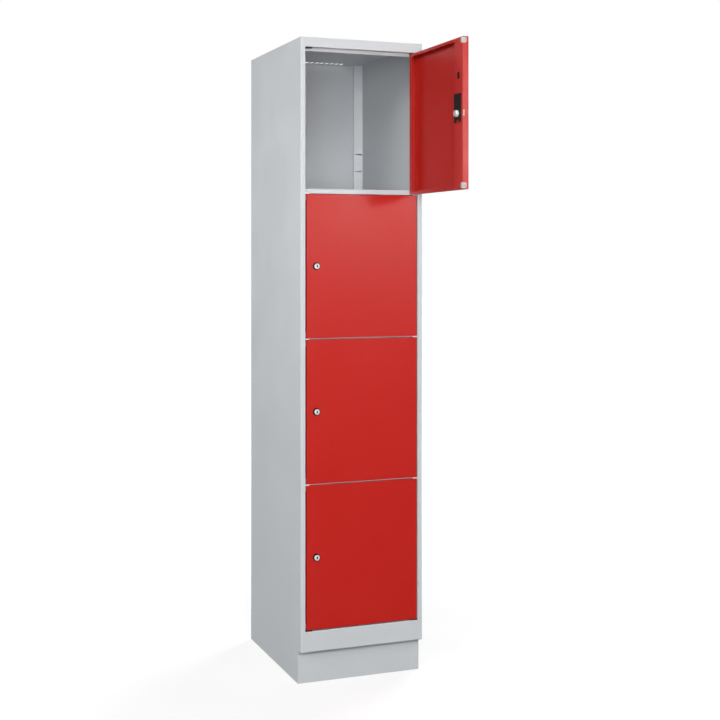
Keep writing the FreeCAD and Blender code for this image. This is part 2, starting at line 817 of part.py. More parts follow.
def shift_to_lock(body):
    # A turned lock piece is drawn about X = 0, so its sketch is moved across to the lock axis.
    sketch = body.Tip.Profile[0]
    bind(sketch, "AttachmentOffset.Base.x", "lock_x")


def lock_cylinder(index):
    # Turning core: plug with keyhole, shaft through the bolt, rear barrel and the pin that drives the bolt.
    body = new_body(f"door_{index}_lock_cylinder")
    plug = "(cylinder_size / 2)"
    shaft = "(shaft_size / 2)"
    barrel = "(barrel_size / 2)"
    nose = "(skin_face - cylinder_proud)"
    plug_end = "(skin_face + cylinder_depth)"
    barrel_start = "(case_back + slide_play)"
    barrel_end = "(case_back + slide_play + barrel_length)"
    revolve(body, "XY", [
        ("0", nose), (f"{plug} - cylinder_chamfer", nose), (plug, f"{nose} + cylinder_chamfer"),
        (plug, plug_end), (shaft, plug_end), (shaft, barrel_start), (barrel, barrel_start),
        (barrel, f"{barrel_end} - barrel_chamfer"), (f"{barrel} - barrel_chamfer", barrel_end),
        ("0", barrel_end),
    ])
    shift_to_lock(body)
    offset = "(drive_radius / sqrt(2))"
    pin = circle(f"lock_x + {offset}", offset, "drive_pin / 2")
    pad(body, "XZ", plug_end, "bolt_play + bolt_thickness", pin)
    reach = "(key_height / 2 - key_width / 2)"
    keyhole = slot("lock_x", f"-{reach}", "lock_x", reach, "key_width / 2")
    pocket(body, "XZ", f"{nose} - door_wall", "key_depth + door_wall", keyhole)
    hang(body, index)


def lock_bolt(index):
    # Flat bolt with an oblong hole for the shaft and an upright slot for the drive pin.
    body = new_body(f"door_{index}_lock_bolt")
    half = "(bolt_height / 2)"
    hole = "(shaft_size / 2 + slide_play)"
    tail = f"lock_x + bolt_travel + {hole} + bolt_tail"
    outline = rectangle("free_edge + bolt_inset", f"-{half}", tail, half)
    pad(body, "XZ", "bolt_face", "bolt_thickness", outline)
    shaft_slot = slot("lock_x", "0", "lock_x + bolt_travel", "0", hole)
    pin = "(drive_pin / 2 + drive_play)"
    slot_x = "(lock_x + drive_radius / sqrt(2))"
    drive_slot = rectangle(f"{slot_x} - {pin}", "0", f"{slot_x} + {pin}", f"drive_radius + {pin}")
    for cut in (shaft_slot, drive_slot):
        pocket(body, "XZ", "bolt_face - door_wall", "bolt_thickness + 2 * door_wall", cut)
    hang(body, index)


def door_buffers(index):
    # Soft corner caps that meet the stop rails when the door shuts.
    members = []
    for side in (-1, 1):
        body = new_body(f"buffer_{index}_{'upper' if side > 0 else 'lower'}", is_node=False)
        outer = "(free_edge - buffer_skin)"
        back = "(lip_back + buffer_proud)"
        section = [
            (outer, back), (outer, "lip_back - buffer_wrap"), ("free_edge", "lip_back - buffer_wrap"),
            ("free_edge", "lip_back"), ("free_edge + buffer_plate", "lip_back"),
            ("free_edge + buffer_plate", back),
        ]
        far_end = "(half_door - buffer_from_end)"
        start = f"{far_end} - buffer_height" if side > 0 else f"-{far_end}"
        pad(body, "XY", start, "buffer_height", polygon(section))
        ends = (start, f"{start} + buffer_height")
        round_edges(
            body, "buffer_corner",
            *({"x": "free_edge + buffer_plate", "z": end} for end in ends),
            *({"y": "lip_back - buffer_wrap", "z": end} for end in ends),
        )
        members.append(body)
    hang(group(f"door_{index}_buffers", members), index)


def hinge_bushes(index):
    # Flanged plastic bushes in the pan's top and bottom, running on the hinge pins.
    members = []
    bore = "(pin_radius + pin_clearance)"
    for side in (-1, 1):
        body = new_body(f"bush_{index}_{'upper' if side > 0 else 'lower'}", is_node=False)
        outer_end = f"{side} * half_door"
        shoulder = f"{side} * (half_door - door_wall)"
        inner_end = f"{side} * (half_door - bush_depth)"
        revolve(body, "XZ", [
            (bore, outer_end), ("bush_size / 2", outer_end), ("bush_size / 2", shoulder),
            ("bush_collar / 2", shoulder), ("bush_collar / 2", inner_end), (bore, inner_end),
        ])
        members.append(body)
    hang(group(f"door_{index}_hinge_bushes", members), index)


side_panel("side_panel_left", -1)
side_panel("side_panel_right", 1)
corner_strip("rear_corner_strip_left", -1)
corner_strip("rear_corner_strip_right", 1)
back_panel()
top_panel()
bottom_panel()
for number in range(1, door_count):
    shelf(number)
hinge_lugs()
lug_tips()
hinge_plates("top_hinge_plates", "opening_top - plate_thickness")
hinge_plates("bottom_hinge_plates", "opening_bottom")
hinge_pins()
plinth_side("plinth_left", -1)
plinth_side("plinth_right", 1)
plinth_cross("plinth_front", "plinth_front", 1)
plinth_cross("plinth_rear", "rear", -1)
plinth_screws()
plinth_nuts()
for number in range(1, door_count + 1):
    door_leaf(number)
    lock_band(number)
    band_plug(number)
    lock_case(number)
    lock_collar(number)
    lock_cylinder(number)
    lock_bolt(number)
    door_buffers(number)
    hinge_bushes(number)

doc.recompute()
for item in doc.Objects:
    if "Invalid" in item.State or "Error" in item.State:
        raise ValueError(f"{item.Label} did not build")
for item in nodes:
    if item.Shape.isNull() or not item.Shape.isValid():
        raise ValueError(f"{item.Label} has no valid shape")

os.makedirs("parts", exist_ok=True)
for item in nodes:
    item.Shape.exportStep(f"parts/{item.Label}.step")
print(len(nodes), "nodes,", sum(len(item.Shape.Solids) for item in nodes), "solids")
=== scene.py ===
import json
import math

import bpy
from mathutils import Matrix, Vector


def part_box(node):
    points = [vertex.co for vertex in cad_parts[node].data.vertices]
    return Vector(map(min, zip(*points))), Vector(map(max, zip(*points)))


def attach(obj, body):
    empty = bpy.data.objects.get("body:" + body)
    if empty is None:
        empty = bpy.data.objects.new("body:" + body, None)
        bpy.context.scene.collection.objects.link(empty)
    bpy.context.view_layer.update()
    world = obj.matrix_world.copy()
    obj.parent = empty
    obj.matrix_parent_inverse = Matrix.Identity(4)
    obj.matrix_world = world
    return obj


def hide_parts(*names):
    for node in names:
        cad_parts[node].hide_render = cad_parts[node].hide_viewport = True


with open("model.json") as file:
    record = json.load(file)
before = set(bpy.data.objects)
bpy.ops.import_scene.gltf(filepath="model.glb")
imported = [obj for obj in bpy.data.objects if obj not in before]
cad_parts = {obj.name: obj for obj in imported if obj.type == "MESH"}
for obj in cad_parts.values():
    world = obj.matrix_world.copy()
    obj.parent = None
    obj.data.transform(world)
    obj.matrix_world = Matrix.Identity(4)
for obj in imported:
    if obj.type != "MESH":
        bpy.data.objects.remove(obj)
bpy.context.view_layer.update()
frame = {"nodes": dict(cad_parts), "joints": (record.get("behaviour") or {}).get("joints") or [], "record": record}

nodes = frame["nodes"]
joints = {joint["name"]: joint for joint in frame["joints"]}
doorNumbers = [1, 2, 3, 4]  # counted from the top
modelDoor = 4  # a shut door, on which the small pieces are modelled first
mm = 0.001
white = (1, 1, 1, 1)


# Node trees

def screenColour(red, green, blue):
    # a colour as a screen shows it, 0 to 255, in the shader's own numbers
    def linear(level):
        share = level / 255
        return share / 12.92 if share <= 0.04045 else ((share + 0.055) / 1.055) ** 2.4
    return (linear(red), linear(green), linear(blue), 1.0)


def feed(tree, target, socket, source):
    # a pair of node and output is linked, anything else is set on the socket itself
    if isinstance(source, tuple) and isinstance(source[0], bpy.types.Node):
        tree.links.new(source[0].outputs[source[1]], target.inputs[socket])
    else:
        target.inputs[socket].default_value = source


def addNode(tree, kind, sockets, **options):
    made = tree.nodes.new("ShaderNode" + kind)
    for key, option in options.items():
        setattr(made, key, option)
    for socket, source in sockets.items():
        feed(tree, made, socket, source)
    return made


def mathNode(tree, operation, *numbers):
    return (addNode(tree, "Math", dict(enumerate(numbers)), operation=operation), 0)


def objectPlace(tree):
    return (addNode(tree, "TexCoord", {}), "Object")


def noise(tree, vector, scale, detail=2.0, roughness=0.5):
    sockets = {"Vector": vector, "Scale": scale, "Detail": detail, "Roughness": roughness}
    return (addNode(tree, "TexNoise", sockets), "Fac")


def spread(tree, value, fromBand, toBand):
    sockets = {
        "Value": value, "From Min": fromBand[0], "From Max": fromBand[1],
        "To Min": toBand[0], "To Max": toBand[1],
    }
    return (addNode(tree, "MapRange", sockets), "Result")


def blendColour(tree, share, first, second):
    # inputs 6 and 7 and output 2 of the node are the ones that carry colours
    return (addNode(tree, "Mix", {0: share, 6: first, 7: second}, data_type="RGBA"), 2)


def shiftTone(tree, colour, level):
    return (addNode(tree, "HueSaturation", {"Color": colour, "Value": level}), "Color")


def newGroup(name, inputs, outputs):
    tree = bpy.data.node_groups.new(name, "ShaderNodeTree")
    for label, kind, standard in inputs:
        socket = tree.interface.new_socket(label, in_out="INPUT", socket_type="NodeSocket" + kind)
        socket.default_value = standard
    for label, kind in outputs:
        tree.interface.new_socket(label, in_out="OUTPUT", socket_type="NodeSocket" + kind)
    entry = tree.nodes.new("NodeGroupInput")
    leave = tree.nodes.new("NodeGroupOutput")
    return tree, entry, leave, objectPlace(tree)


# Effects that several finishes share

noiseBand = (0.3, 0.7)  # the part of a noise's range that it mostly fills
powder = {
    "peel": {"scale": 430, "detail": 2, "roughness": 0.55}, "peelShare": 0.6,
    "grain": {"scale": 2400, "detail": 1}, "grainShare": 0.25, "grainTone": 0.10,
    "mottle": {"scale": 7, "detail": 5, "roughness": 0.6}, "rough": (0.30, 0.38),
}


def makePowderSkin():
    # fused powder paint: orange peel, a fine grain on it and a faint slow mottle
    tree, entry, leave, place = newGroup(
        "powderSkin",
        [("Paint", "Color", (0.5, 0.5, 0.5, 1)), ("Mottle", "Float", 0.05)],
        [("Colour", "Color"), ("Roughness", "Float"), ("Height", "Float")],
    )
    peel = noise(tree, place, **powder["peel"])
    grain = noise(tree, place, **powder["grain"])
    mottle = noise(tree, place, **powder["mottle"])
    peelPart = mathNode(tree, "MULTIPLY", peel, powder["peelShare"])
    height = mathNode(tree, "MULTIPLY_ADD", grain, powder["grainShare"], peelPart)
    slow = mathNode(tree, "SUBTRACT", mottle, 0.5)
    fine = mathNode(tree, "SUBTRACT", grain, 0.5)
    finePart = mathNode(tree, "MULTIPLY_ADD", fine, powder["grainTone"], 1.0)
    level = mathNode(tree, "MULTIPLY_ADD", slow, (entry, "Mottle"), finePart)
    feed(tree, leave, "Colour", shiftTone(tree, (entry, "Paint"), level))
    feed(tree, leave, "Roughness", spread(tree, mottle, noiseBand, powder["rough"]))
    feed(tree, leave, "Height", height)
    return tree


edge = {
    "samples": 4, "turned": (0.02, 0.28),
    "broken": {"scale": 55, "detail": 4, "roughness": 0.65},
    "brokenFrom": (0.38, 0.62), "brokenTo": (0.15, 1),
}


def makeEdgeRubAndHighlight():
    # where two faces meet: a softened normal, and a broken mask along the edges that is partly rubbed, thinly
    # coated paint and partly painted edge highlight
    tree, entry, leave, place = newGroup(
        "edgeRubAndPaintedHighlight", [("Width", "Float", 0.8 * mm)], [("Mask", "Float"), ("Normal", "Vector")],
    )
    soft = (addNode(tree, "Bevel", {"Radius": (entry, "Width")}, samples=edge["samples"]), "Normal")
    flat = (addNode(tree, "NewGeometry", {}), "Normal")
    match = (addNode(tree, "VectorMath", {0: soft, 1: flat}, operation="DOT_PRODUCT"), "Value")
    rim = spread(tree, mathNode(tree, "SUBTRACT", 1.0, match), edge["turned"], (0, 1))
    broken = spread(tree, noise(tree, place, **edge["broken"]), edge["brokenFrom"], edge["brokenTo"])
    feed(tree, leave, "Mask", mathNode(tree, "MULTIPLY", rim, broken))
    feed(tree, leave, "Normal", soft)
    return tree


dust = {
    "specks": {"scale": 900, "detail": 2, "roughness": 0.7}, "speckFrom": (0.5, 0.72),
    "drift": {"scale": 6, "detail": 3}, "driftFrom": (0.35, 0.7), "driftTo": (0.25, 1), "level": (0.86, 1.0),
}


def makeSettledDust():
    # a thin drift of specks on faces that look up
    tree, entry, leave, place = newGroup(
        "settledDust", [("Amount", "Float", 0.2)], [("Mask", "Float")],
    )
    facing = addNode(tree, "SeparateXYZ", {"Vector": (addNode(tree, "NewGeometry", {}), "Normal")})
    upward = spread(tree, (facing, "Z"), dust["level"], (0, 1))
    specks = spread(tree, noise(tree, place, **dust["specks"]), dust["speckFrom"], (0, 1))
    drift = spread(tree, noise(tree, place, **dust["drift"]), dust["driftFrom"], dust["driftTo"])
    lying = mathNode(tree, "MULTIPLY", specks, drift)
    shown = mathNode(tree, "MULTIPLY", lying, upward)
    feed(tree, leave, "Mask", mathNode(tree, "MULTIPLY", shown, (entry, "Amount")))
    return tree


mould = {
    "cellScale": 1500, "flow": {"scale": 60, "detail": 4, "roughness": 0.6},
    "tone": (0.82, 1.18), "rough": (0.42, 0.6),
}


def makeMouldGrain():
    # spark-eroded mould texture with slow flow marks
    tree, entry, leave, place = newGroup(
        "mouldGrain", [("Resin", "Color", (0.02, 0.02, 0.02, 1))],
        [("Colour", "Color"), ("Roughness", "Float"), ("Height", "Float")],
    )
    cells = addNode(tree, "TexVoronoi", {"Vector": place, "Scale": mould["cellScale"]})
    flow = noise(tree, place, **mould["flow"])
    level = spread(tree, flow, noiseBand, mould["tone"])
    feed(tree, leave, "Colour", shiftTone(tree, (entry, "Resin"), level))
    feed(tree, leave, "Roughness", spread(tree, flow, noiseBand, mould["rough"]))
    feed(tree, leave, "Height", (cells, "Distance"))
    return tree


plate = {
    "stretch": (1, 0.06, 1), "scratch": {"scale": 700, "detail": 3, "roughness": 0.7}, "scratchDull": 0.08,
    "cloud": {"scale": 90, "detail": 4, "roughness": 0.6}, "tone": (0.9, 1.05),
}


def makePlatedSkin():
    # electroplate: fine drawn scratches and a clouded gloss
    tree, entry, leave, place = newGroup(
        "platedSkin",
        [("Metal", "Color", (0.7, 0.7, 0.7, 1)), ("Gloss", "Float", 0.1), ("Cloud", "Float", 0.1)],
        [("Colour", "Color"), ("Roughness", "Float"), ("Height", "Float")],
    )
    drawn = (addNode(tree, "Mapping", {"Vector": place, "Scale": plate["stretch"]}), "Vector")
    scratch = noise(tree, drawn, **plate["scratch"])
    cloud = noise(tree, place, **plate["cloud"])
    dull = mathNode(tree, "MULTIPLY", cloud, (entry, "Cloud"))
    lined = mathNode(tree, "MULTIPLY", scratch, plate["scratchDull"])
    rough = mathNode(tree, "ADD", dull, lined)
    feed(tree, leave, "Roughness", mathNode(tree, "ADD", rough, (entry, "Gloss")))
    level = spread(tree, cloud, noiseBand, plate["tone"])
    feed(tree, leave, "Colour", shiftTone(tree, (entry, "Metal"), level))
    feed(tree, leave, "Height", scratch)
    return tree


groups = {
    "powder": makePowderSkin(), "edge": makeEdgeRubAndHighlight(), "dust": makeSettledDust(),
    "mould": makeMouldGrain(), "plate": makePlatedSkin(),
}
print("shared effects:", ", ".join(groups))


# Finishes

def newFinish(name, **shader):
    finish = bpy.data.materials.new(name)
    finish.use_nodes = True
    tree = finish.node_tree
    surface = tree.nodes["Principled BSDF"]
    for socket, number in shader.items():
        surface.inputs[socket.replace("_", " ")].default_value = number
    return finish, tree, surface


def useGroup(tree, name, **sockets):
    placed = tree.nodes.new("ShaderNodeGroup")
    placed.node_tree = groups[name]
    for socket, source in sockets.items():
        feed(tree, placed, socket, source)
    return placed


def raiseSurface(tree, surface, height, normal, strength, distance):
    bump = addNode(
        tree, "Bump", {"Height": height, "Normal": normal, "Strength": strength, "Distance": distance},
    )
    feed(tree, surface, "Normal", (bump, "Normal"))


coat = {
    "edgeWidth": 0.9 * mm, "bump": 0.22, "bumpDepth": 0.12 * mm,
    "dustColour": screenColour(206, 204, 198), "dustRough": 0.5,
}


def powderFinish(name, colour, rubAndHighlightColour, mottle, dustAmount, specular):
    finish, tree, surface = newFinish(name, Specular_IOR_Level=specular)
    skin = useGroup(tree, "powder", Paint=colour, Mottle=mottle)
    rubAndHighlight = useGroup(tree, "edge", Width=coat["edgeWidth"])
    drift = useGroup(tree, "dust", Amount=dustAmount)
    # edges lightened towards the edge colour: partly rubbed paint, partly painted edge highlight
    rubbedAndHighlit = blendColour(tree, (rubAndHighlight, "Mask"), (skin, "Colour"), rubAndHighlightColour)
    dusty = blendColour(tree, (drift, "Mask"), rubbedAndHighlit, coat["dustColour"])
    feed(tree, surface, "Base Color", dusty)
    rough = mathNode(tree, "MULTIPLY_ADD", (drift, "Mask"), coat["dustRough"], (skin, "Roughness"))
    feed(tree, surface, "Roughness", rough)
    raiseSurface(tree, surface, (skin, "Height"), (rubAndHighlight, "Normal"), coat["bump"], coat["bumpDepth"])
    return finish


moulding = {"edgeWidth": 0.5 * mm, "bumpDepth": 0.1 * mm}


def mouldedFinish(name, resin, rubAndHighlightColour, bump, **shader):
    finish, tree, surface = newFinish(name, **shader)
    skin = useGroup(tree, "mould", Resin=resin)
    rubAndHighlight = useGroup(tree, "edge", Width=moulding["edgeWidth"])
    # edges lightened the same way: partly rubbed, partly painted edge highlight
    feed(tree, surface, "Base Color", blendColour(tree, (rubAndHighlight, "Mask"), (skin, "Colour"), rubAndHighlightColour))
    feed(tree, surface, "Roughness", (skin, "Roughness"))
    raiseSurface(tree, surface, (skin, "Height"), (rubAndHighlight, "Normal"), bump, moulding["bumpDepth"])
    return finish


plating = {"edgeWidth": 0.35 * mm, "bumpDepth": 0.05 * mm}


def platedFinish(name, metal, gloss, cloud, bump, metallic):
    finish, tree, surface = newFinish(name, Metallic=metallic)
    skin = useGroup(tree, "plate", Metal=metal, Gloss=gloss, Cloud=cloud)
    rubAndHighlight = useGroup(tree, "edge", Width=plating["edgeWidth"])
    feed(tree, surface, "Base Color", (skin, "Colour"))
    feed(tree, surface, "Roughness", (skin, "Roughness"))
    raiseSurface(tree, surface, (skin, "Height"), (rubAndHighlight, "Normal"), bump, plating["bumpDepth"])
    return finish


# in each powder and moulded finish the second colour is the lighter edge colour, partly rubbed edge and partly
# painted edge highlight
finishes = {
    "carcass_grey": powderFinish(
        "carcassGrey", screenColour(202, 206, 209), screenColour(214, 216, 217),
        mottle=0.06, dustAmount=0.35, specular=0.4,
    ),
    "door_red": powderFinish(
        "doorRed", screenColour(190, 26, 17), screenColour(200, 58, 50),
        mottle=0.08, dustAmount=0.25, specular=0.45,
    ),
    "hinge_black": mouldedFinish(
        "hingeNylon", screenColour(26, 26, 28), screenColour(48, 48, 50),
        bump=0.12, Specular_IOR_Level=0.25,
    ),
    "lock_black": mouldedFinish(
        "lockCaseBlack", screenColour(22, 23, 24), screenColour(44, 45, 46),
        bump=0.18, Specular_IOR_Level=0.18,
    ),
    # near-white base with only a small metallic share: part of the plating's reflection of the bright studio is
    # painted in as white colour
    "lock_chrome": platedFinish(
        "lockChromeWithPaintedSheen", screenColour(252, 252, 253), gloss=0.14, cloud=0.10, bump=0.05, metallic=0.30,
    ),
    "zinc_steel": platedFinish(
        "zincPlate", screenColour(206, 207, 206), gloss=0.34, cloud=0.30, bump=0.12, metallic=0.75,
    ),
    "buffer_white": mouldedFinish(
        "bufferSoftWhite", screenColour(192, 190, 186), screenColour(206, 204, 200), bump=0.08,
        Specular_IOR_Level=0.25, Subsurface_Weight=0.15, Subsurface_Scale=1.0,
        Subsurface_Radius=(1.5 * mm, 1.2 * mm, 1.0 * mm),
    ),
}
# collars and plugs are a deeper black than the cases; on the keyway cores that deep black is painted shade of the
# keyhole's depth; the lugs get a paler grey than the carcass, painted light
deepBlackAndKeyholeShade = mouldedFinish(
    "deepBlackAndKeyholeShade", screenColour(9, 9, 10), screenColour(22, 22, 23), bump=0.18, Specular_IOR_Level=0.08,
)
# a paler copy of the carcass powder on the shelf hinge lugs: painted light that lifts them out of the shade of the
# door gaps
lugPaintedLightGrey = powderFinish(
    "lugPaintedLightGrey", screenColour(236, 238, 239), screenColour(240, 241, 242),
    mottle=0.05, dustAmount=0.2, specular=0.5,
)
ownFinish = {"shelf_hinge_lugs": lugPaintedLightGrey}
for number in doorNumbers:
    ownFinish[f"door_{number}_lock_collar"] = deepBlackAndKeyholeShade
    ownFinish[f"door_{number}_band_plug"] = deepBlackAndKeyholeShade
for part in frame["record"]["subparts"]:
    mesh = nodes[part["node"]].data
    mesh.materials.clear()
    mesh.materials.append(ownFinish.get(part["node"], finishes[part["material_slot"]]))
print("finishes:", ", ".join(finishes))


# Modelling by hand

mergeReach = 0.002 * mm
squareOn = 0.9  # the least share of a face's normal that still counts as looking along an axis


def clearSelection():
    if bpy.context.mode != "OBJECT":
        bpy.ops.object.mode_set(mode="OBJECT")
    bpy.ops.object.select_all(action="DESELECT")


def takePiece(name):
    piece = bpy.context.object
    piece.name = name
    piece.data.name = name
    return piece


def activate(piece):
    clearSelection()
    piece.select_set(True)
    bpy.context.view_layer.objects.active = piece


def openEmpty(piece, kind):
    # prepares the piece for a choice of its faces or edges, with none of them chosen
    activate(piece)
    bpy.ops.object.mode_set(mode="EDIT")
    bpy.ops.mesh.select_mode(type=kind)
    bpy.ops.mesh.select_all(action="DESELECT")
    bpy.ops.object.mode_set(mode="OBJECT")


def pickFaces(piece, test):
    # opens the piece in edit mode with just the faces that pass
    openEmpty(piece, "FACE")
    for face in piece.data.polygons:
        face.select = test(face.center, face.normal)
    bpy.ops.object.mode_set(mode="EDIT")


def pickEdges(piece, test):
    # the same with the edges, by their two ends
    openEmpty(piece, "EDGE")
    corners = piece.data.vertices
    for line in piece.data.edges:
        line.select = test(corners[line.vertices[0]].co, corners[line.vertices[1]].co)
    bpy.ops.object.mode_set(mode="EDIT")


def bevelPicked(offset, segments):
    bpy.ops.mesh.bevel(offset=offset, segments=segments, affect="EDGES")
    bpy.ops.object.mode_set(mode="OBJECT")


def applyModifiers(piece):
    activate(piece)
    for modifier in list(piece.modifiers):
        bpy.ops.object.modifier_apply(modifier=modifier.name)


def fixPlace(piece):
    activate(piece)
    bpy.ops.object.transform_apply(location=True, rotation=True, scale=True)


def tidyNormals(piece):
    activate(piece)
    bpy.ops.object.mode_set(mode="EDIT")
    bpy.ops.mesh.select_all(action="SELECT")
    bpy.ops.mesh.remove_doubles(threshold=mergeReach)
    bpy.ops.mesh.normals_make_consistent(inside=False)
    bpy.ops.object.mode_set(mode="OBJECT")


def addBlock(name, middle, size):
    clearSelection()
    bpy.ops.mesh.primitive_cube_add(size=1, location=middle)
    piece = takePiece(name)
    piece.scale = size
    fixPlace(piece)
    return piece


def addDisc(name, middle, radius, thickness, sides):
    # a round that lies square to the Y axis
    clearSelection()
    bpy.ops.mesh.primitive_cylinder_add(
        vertices=sides, radius=radius, depth=thickness, location=middle, rotation=(math.radians(90), 0, 0),
    )
    piece = takePiece(name)
    fixPlace(piece)
    return piece


def discard(piece):
    activate(piece)
    bpy.ops.object.delete()


def cutAway(piece, cutter):
    cut = piece.modifiers.new("cut", "BOOLEAN")
    cut.object = cutter
    applyModifiers(piece)
    discard(cutter)


def copyPiece(piece, name, matrix):
    activate(piece)
    bpy.ops.object.duplicate()
    made = takePiece(name)
    made.matrix_world = matrix
    fixPlace(made)
    return made


def joinPieces(pieces, name):
    clearSelection()
    for piece in pieces:
        piece.select_set(True)
    bpy.context.view_layer.objects.active = pieces[0]
    bpy.ops.object.join()
    return takePiece(name)


def shadeSmooth(piece, degrees):
    activate(piece)
    bpy.ops.object.shade_smooth_by_angle(angle=math.radians(degrees))


def finishPiece(piece, body, slot, *stoodFor, finish=None):
    piece.data.materials.clear()
    piece.data.materials.append(finish or finishes[slot])
    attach(piece, body)
    if stoodFor:
        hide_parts(*stoodFor)


def hingeOf(number):
    return Vector(joints[f"door_{number}_hinge"]["pos_m"])


def lockOf(number):
    return Vector(joints[f"door_{number}_key_turn"]["pos_m"])


def fromModelDoor(number):
    # carries a place on the model door to the same place on another, turned as far as that one is open
    keyAxis = Vector(joints[f"door_{number}_key_turn"]["axis"])
    turn = math.atan2(keyAxis.x, -keyAxis.y)
    swing = Matrix.Rotation(turn, 4, "Z")
    return Matrix.Translation(hingeOf(number)) @ swing @ Matrix.Translation(-hingeOf(modelDoor))


# Soft buffers on the free corners of the doors

buffer = {
    "skin": 1.2 * mm, "proud": 2.7 * mm, "height": 16.5 * mm, "corner": 5 * mm, "cornerSteps": 6,
    "edge": 0.9 * mm, "edgeSteps": 4, "edgeAngle": 40, "smooth": 35, "near": 0.05 * mm,
}


def modelBuffer():
    s = buffer
    low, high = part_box(f"door_{modelDoor}_buffers")
    size = Vector((high.x - low.x, s["proud"], s["height"]))
    middle = Vector(((low.x + high.x) / 2, high.y - s["proud"] / 2, high.z - s["height"] / 2))
    piece = addBlock("softBuffer", middle, size)
    # fold the plate round the door's edge
    fold = low.x + s["skin"]
    activate(piece)
    bpy.ops.object.mode_set(mode="EDIT")
    bpy.ops.mesh.select_all(action="SELECT")
    bpy.ops.mesh.bisect(plane_co=(fold, middle.y, middle.z), plane_no=(1, 0, 0))
    pickFaces(piece, lambda centre, normal: normal.y < -squareOn and centre.x < fold)
    wrap = high.y - s["proud"] - low.y
    bpy.ops.mesh.extrude_region_move(TRANSFORM_OT_translate={"value": (0, -wrap, 0)})

    # round the four free corners, then soften every edge
    def freeCorner(first, second):
        plateEnd = abs(first.x - high.x) < s["near"] and abs(second.x - high.x) < s["near"]
        wrapEnd = abs(first.y - low.y) < s["near"] and abs(second.y - low.y) < s["near"]
        return (plateEnd or wrapEnd) and abs(first.z - second.z) < s["near"]
    pickEdges(piece, freeCorner)
    bevelPicked(s["corner"], s["cornerSteps"])
    softening = piece.modifiers.new("soften", "BEVEL")
    softening.width = s["edge"]
    softening.segments = s["edgeSteps"]
    softening.limit_method = "ANGLE"
    softening.angle_limit = math.radians(s["edgeAngle"])
    applyModifiers(piece)
    tidyNormals(piece)
    shadeSmooth(piece, s["smooth"])
    return piece


def placeBuffers():
    model = modelBuffer()
    middle = hingeOf(modelDoor).z
    upend = Matrix.Scale(-1, 4, (0, 0, 1))
    flip = Matrix.Translation((0, 0, middle)) @ upend @ Matrix.Translation((0, 0, -middle))
    for number in doorNumbers:
        upper = copyPiece(model, "upperBuffer", fromModelDoor(number))
        lower = copyPiece(model, "lowerBuffer", fromModelDoor(number) @ flip)
        tidyNormals(lower)
        pair = joinPieces([upper, lower], f"door_{number}_soft_buffers")
        finishPiece(pair, f"door_{number}", "buffer_white", f"door_{number}_buffers")
    discard(model)


placeBuffers()
print("buffers placed")


# Keyways of the lock cylinders

keyway = {
    "width": 4.5 * mm, "height": 8.3 * mm, "depth": 7 * mm, "sunk": 0.6 * mm, "floor": 1.5 * mm,
    "slit": 1.3 * mm, "swing": 0.6 * mm, "wards": 3, "wardTall": 2.3 * mm, "wardStep": 2.1 * mm,
    "roundShare": 0.49, "roundSteps": 6, "smooth": 30,
}


def modelKeyway():
    # a rounded core in the keyhole, with a slit that steps to and fro past its wards
    s = keyway
    axis = lockOf(modelDoor)
    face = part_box(f"door_{modelDoor}_lock_cylinder")[0].y + s["sunk"]
    middle = (axis.x, face + s["depth"] / 2, axis.z)
    piece = addBlock("keywayCore", middle, (s["width"], s["depth"], s["height"]))
    pickEdges(piece, lambda first, second: abs(first.y - second.y) > s["depth"] / 2)
    bevelPicked(s["roundShare"] * s["width"], s["roundSteps"])
    reach = 2 * (s["depth"] - s["floor"])
    for ward in range(s["wards"]):
        place = Vector((axis.x + s["swing"] * (-1) ** ward, face, axis.z))
        place.z += (ward - (s["wards"] - 1) / 2) * s["wardStep"]
        cutAway(piece, addBlock("wardCut", place, (s["slit"], reach, s["wardTall"])))
    tidyNormals(piece)
    shadeSmooth(piece, s["smooth"])
    return piece


# Screws on the rear ends of the lock cylinders

barrelScrew = {
    "radius": 8.6 * mm, "height": 1.1 * mm, "sides": 40, "crown": 0.4 * mm, "crownSteps": 5,
    "crossLong": 6.0 * mm, "crossWide": 1.4 * mm, "crossDeep": 0.8 * mm, "smooth": 30, "near": 0.01 * mm,
}


def modelBarrelScrew():
    # a crowned head with a cross recess
    s = barrelScrew
    axis = lockOf(modelDoor)
    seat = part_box(f"door_{modelDoor}_lock_cylinder")[1].y
    crest = seat + s["height"]
    middle = (axis.x, seat + s["height"] / 2, axis.z)
    piece = addDisc("barrelScrew", middle, s["radius"], s["height"], s["sides"])

    def atCrest(first, second):
        return abs(first.y - crest) < s["near"] and abs(second.y - crest) < s["near"]
    pickEdges(piece, atCrest)
    bevelPicked(s["crown"], s["crownSteps"])
    for across, tall in ((s["crossLong"], s["crossWide"]), (s["crossWide"], s["crossLong"])):
        cutAway(piece, addBlock("crossCut", (axis.x, crest, axis.z), (across, 2 * s["crossDeep"], tall)))
    tidyNormals(piece)
    shadeSmooth(piece, s["smooth"])
    return piece


def placeLockDetails():
    keywayModel = modelKeyway()
    screwModel = modelBarrelScrew()
    for number in doorNumbers:
        core = copyPiece(keywayModel, f"door_{number}_keyway", fromModelDoor(number))
        # the keyway core's deep black is painted shade of the keyhole's depth
        finishPiece(core, f"lock_cylinder_{number}", "lock_black", finish=deepBlackAndKeyholeShade)
        screw = copyPiece(screwModel, f"door_{number}_barrel_screw", fromModelDoor(number))
        finishPiece(screw, f"lock_cylinder_{number}", "zinc_steel")
    discard(keywayModel)
    discard(screwModel)


placeLockDetails()
print("lock details placed")


# Spot welds along the rear flanges

weldMarks = {
    "radius": 2.8 * mm, "height": 0.3 * mm, "sides": 16, "rim": 0.9 * mm, "dish": 0.2 * mm,
    "fromEdge": 7.5 * mm, "lowest": 0.16, "pitch": 0.072, "count": 25, "smooth": 25,
}


